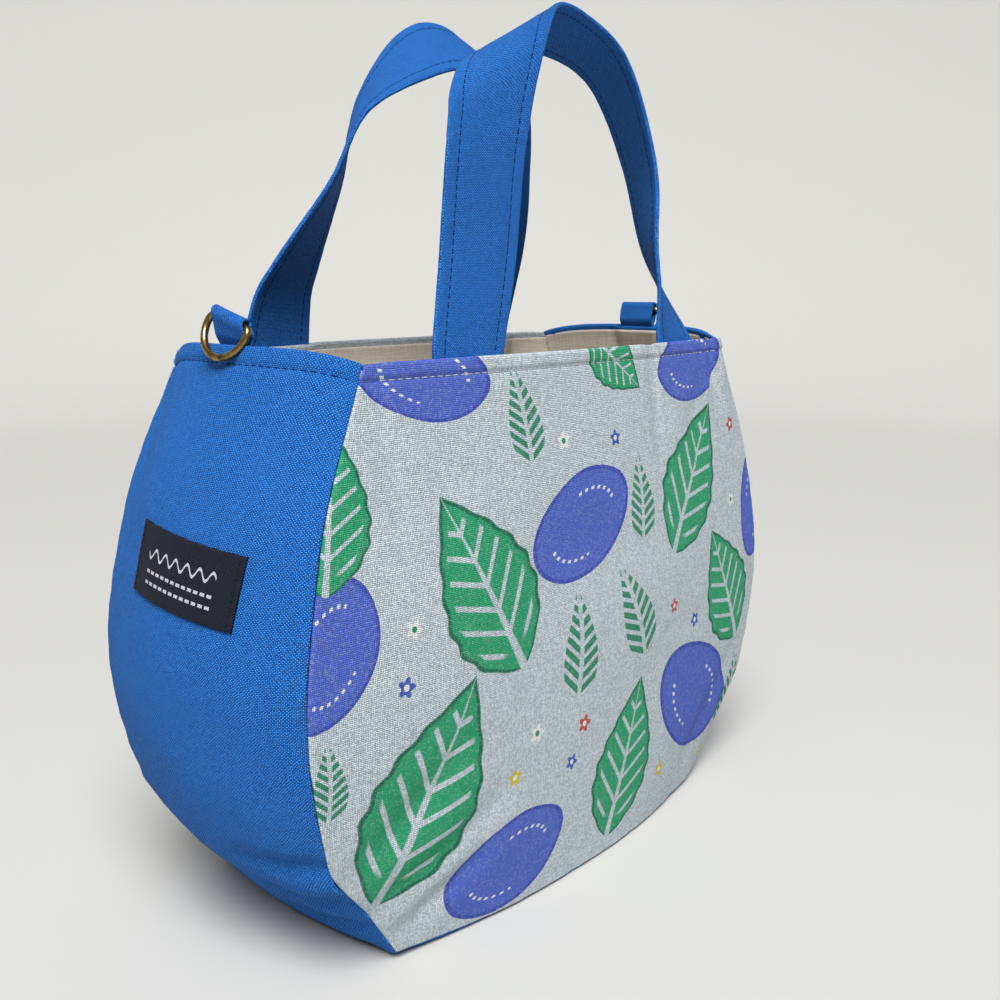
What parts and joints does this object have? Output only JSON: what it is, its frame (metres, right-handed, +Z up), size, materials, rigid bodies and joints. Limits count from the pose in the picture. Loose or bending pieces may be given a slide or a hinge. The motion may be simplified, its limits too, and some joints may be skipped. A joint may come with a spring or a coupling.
{
  "type": "fabric tote bag",
  "caption": "Small rounded fabric tote bag with printed front and back, plain canvas gussets, sewn lining, folding strap handles and rim D-rings.",
  "frame": {"origin": "on the floor, under the middle of the bag's base", "axes": "+Z up, +X to the right along the bag's width as seen from the front, the front panel faces -Y"},
  "size_m": [0.266, 0.1162, 0.2908],
  "materials": {
    "print_linen": "slubby pale linen, printed",
    "blue_canvas": "matt royal blue canvas",
    "lining": "matt ivory cotton",
    "antique_brass": "antique plated wire",
    "label": "dense navy woven tape"
  },
  "bodies": {
    "bag": {"front_panel": "print_linen", "back_panel": "print_linen", "side_strip": "blue_canvas", "front_lining": "lining", "back_lining": "lining", "side_lining": "lining", "front_strap_end_left": "blue_canvas", "front_strap_end_right": "blue_canvas", "back_strap_end_left": "blue_canvas", "back_strap_end_right": "blue_canvas", "left_ring_tab": "blue_canvas", "right_ring_tab": "blue_canvas", "woven_label": "label"},
    "front_handle": {"front_handle": "blue_canvas"},
    "back_handle": {"back_handle": "blue_canvas"},
    "left_ring": {"left_d_ring": "antique_brass"},
    "right_ring": {"right_d_ring": "antique_brass"}
  },
  "joints": [
    {"name": "front_handle_fold", "type": "hinge", "parent": "bag", "child": "front_handle", "pos_m": [0, -0.04561, 0.189], "axis": [1, 0, 0], "range_deg": [0, 140]},
    {"name": "back_handle_fold", "type": "hinge", "parent": "bag", "child": "back_handle", "pos_m": [0, 0.04561, 0.189], "axis": [-1, 0, 0], "range_deg": [0, 140]},
    {"name": "left_ring_swing", "type": "hinge", "parent": "bag", "child": "left_ring", "pos_m": [-0.10267, 0, 0.1905], "axis": [0, 0.9703, 0.2419], "range_deg": [0, 200]},
    {"name": "right_ring_swing", "type": "hinge", "parent": "bag", "child": "right_ring", "pos_m": [0.10267, 0, 0.1905], "axis": [0, -1, 0], "range_deg": [0, 200]}
  ]
}
